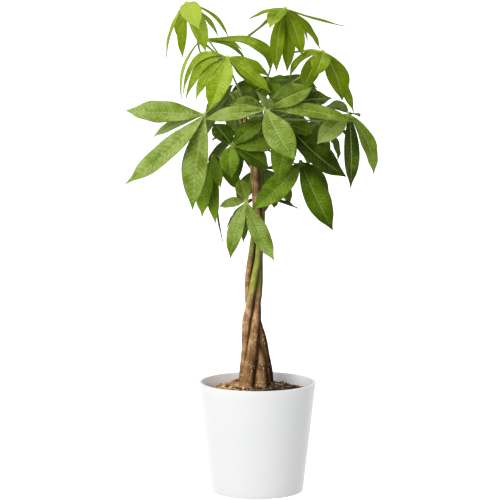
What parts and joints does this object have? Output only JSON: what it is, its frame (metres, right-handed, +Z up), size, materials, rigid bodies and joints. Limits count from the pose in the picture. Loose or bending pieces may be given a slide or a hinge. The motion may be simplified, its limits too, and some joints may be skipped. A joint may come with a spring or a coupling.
{
  "type": "potted money tree",
  "caption": "Potted house plant with a braided trunk, long-stalked palmate leaves and a plain tapered pot that stands on a flat surface.",
  "frame": {"origin": "centre of the pot's underside, on the surface the plant stands on", "axes": "+Z up along the pot's axis and the trunk, -Y towards the side the crown is fullest, +X to the right of that side"},
  "size_m": [0.3159, 0.2923, 0.6294],
  "materials": {
    "pot": "white satin glaze",
    "soil": "coarse bark chips and potting soil",
    "bark": "rough brown bark with pale pores",
    "bark_green": "young bark that turns green higher up",
    "leaf_young": "bright yellow-green young leaf, satin",
    "leaf_mid": "mid green leaf, satin",
    "leaf_dark": "deep green leaf, satin"
  },
  "bodies": {
    "root": {"pot": "pot", "soil": "soil", "stem_1": "bark_green", "stem_2": "bark", "stem_3": "bark", "stem_4": "bark", "leaf_a": "leaf_young", "leaf_b": "leaf_young", "leaf_c": "leaf_young", "leaf_d": "leaf_young", "leaf_e": "leaf_young", "leaf_f": "leaf_mid", "leaf_g": "leaf_mid", "leaf_h": "leaf_dark", "leaf_i": "leaf_mid", "leaf_j": "leaf_dark", "leaf_k": "leaf_dark", "leaf_l": "leaf_mid", "leaf_n": "leaf_dark", "leaf_p": "leaf_dark", "leaf_q": "leaf_dark", "leaf_r": "leaf_mid", "leaf_s": "leaf_mid", "leaf_t": "leaf_dark", "leaf_u": "leaf_mid", "leaf_v": "leaf_dark", "leaf_w": "leaf_dark"}
  },
  "joints": []
}
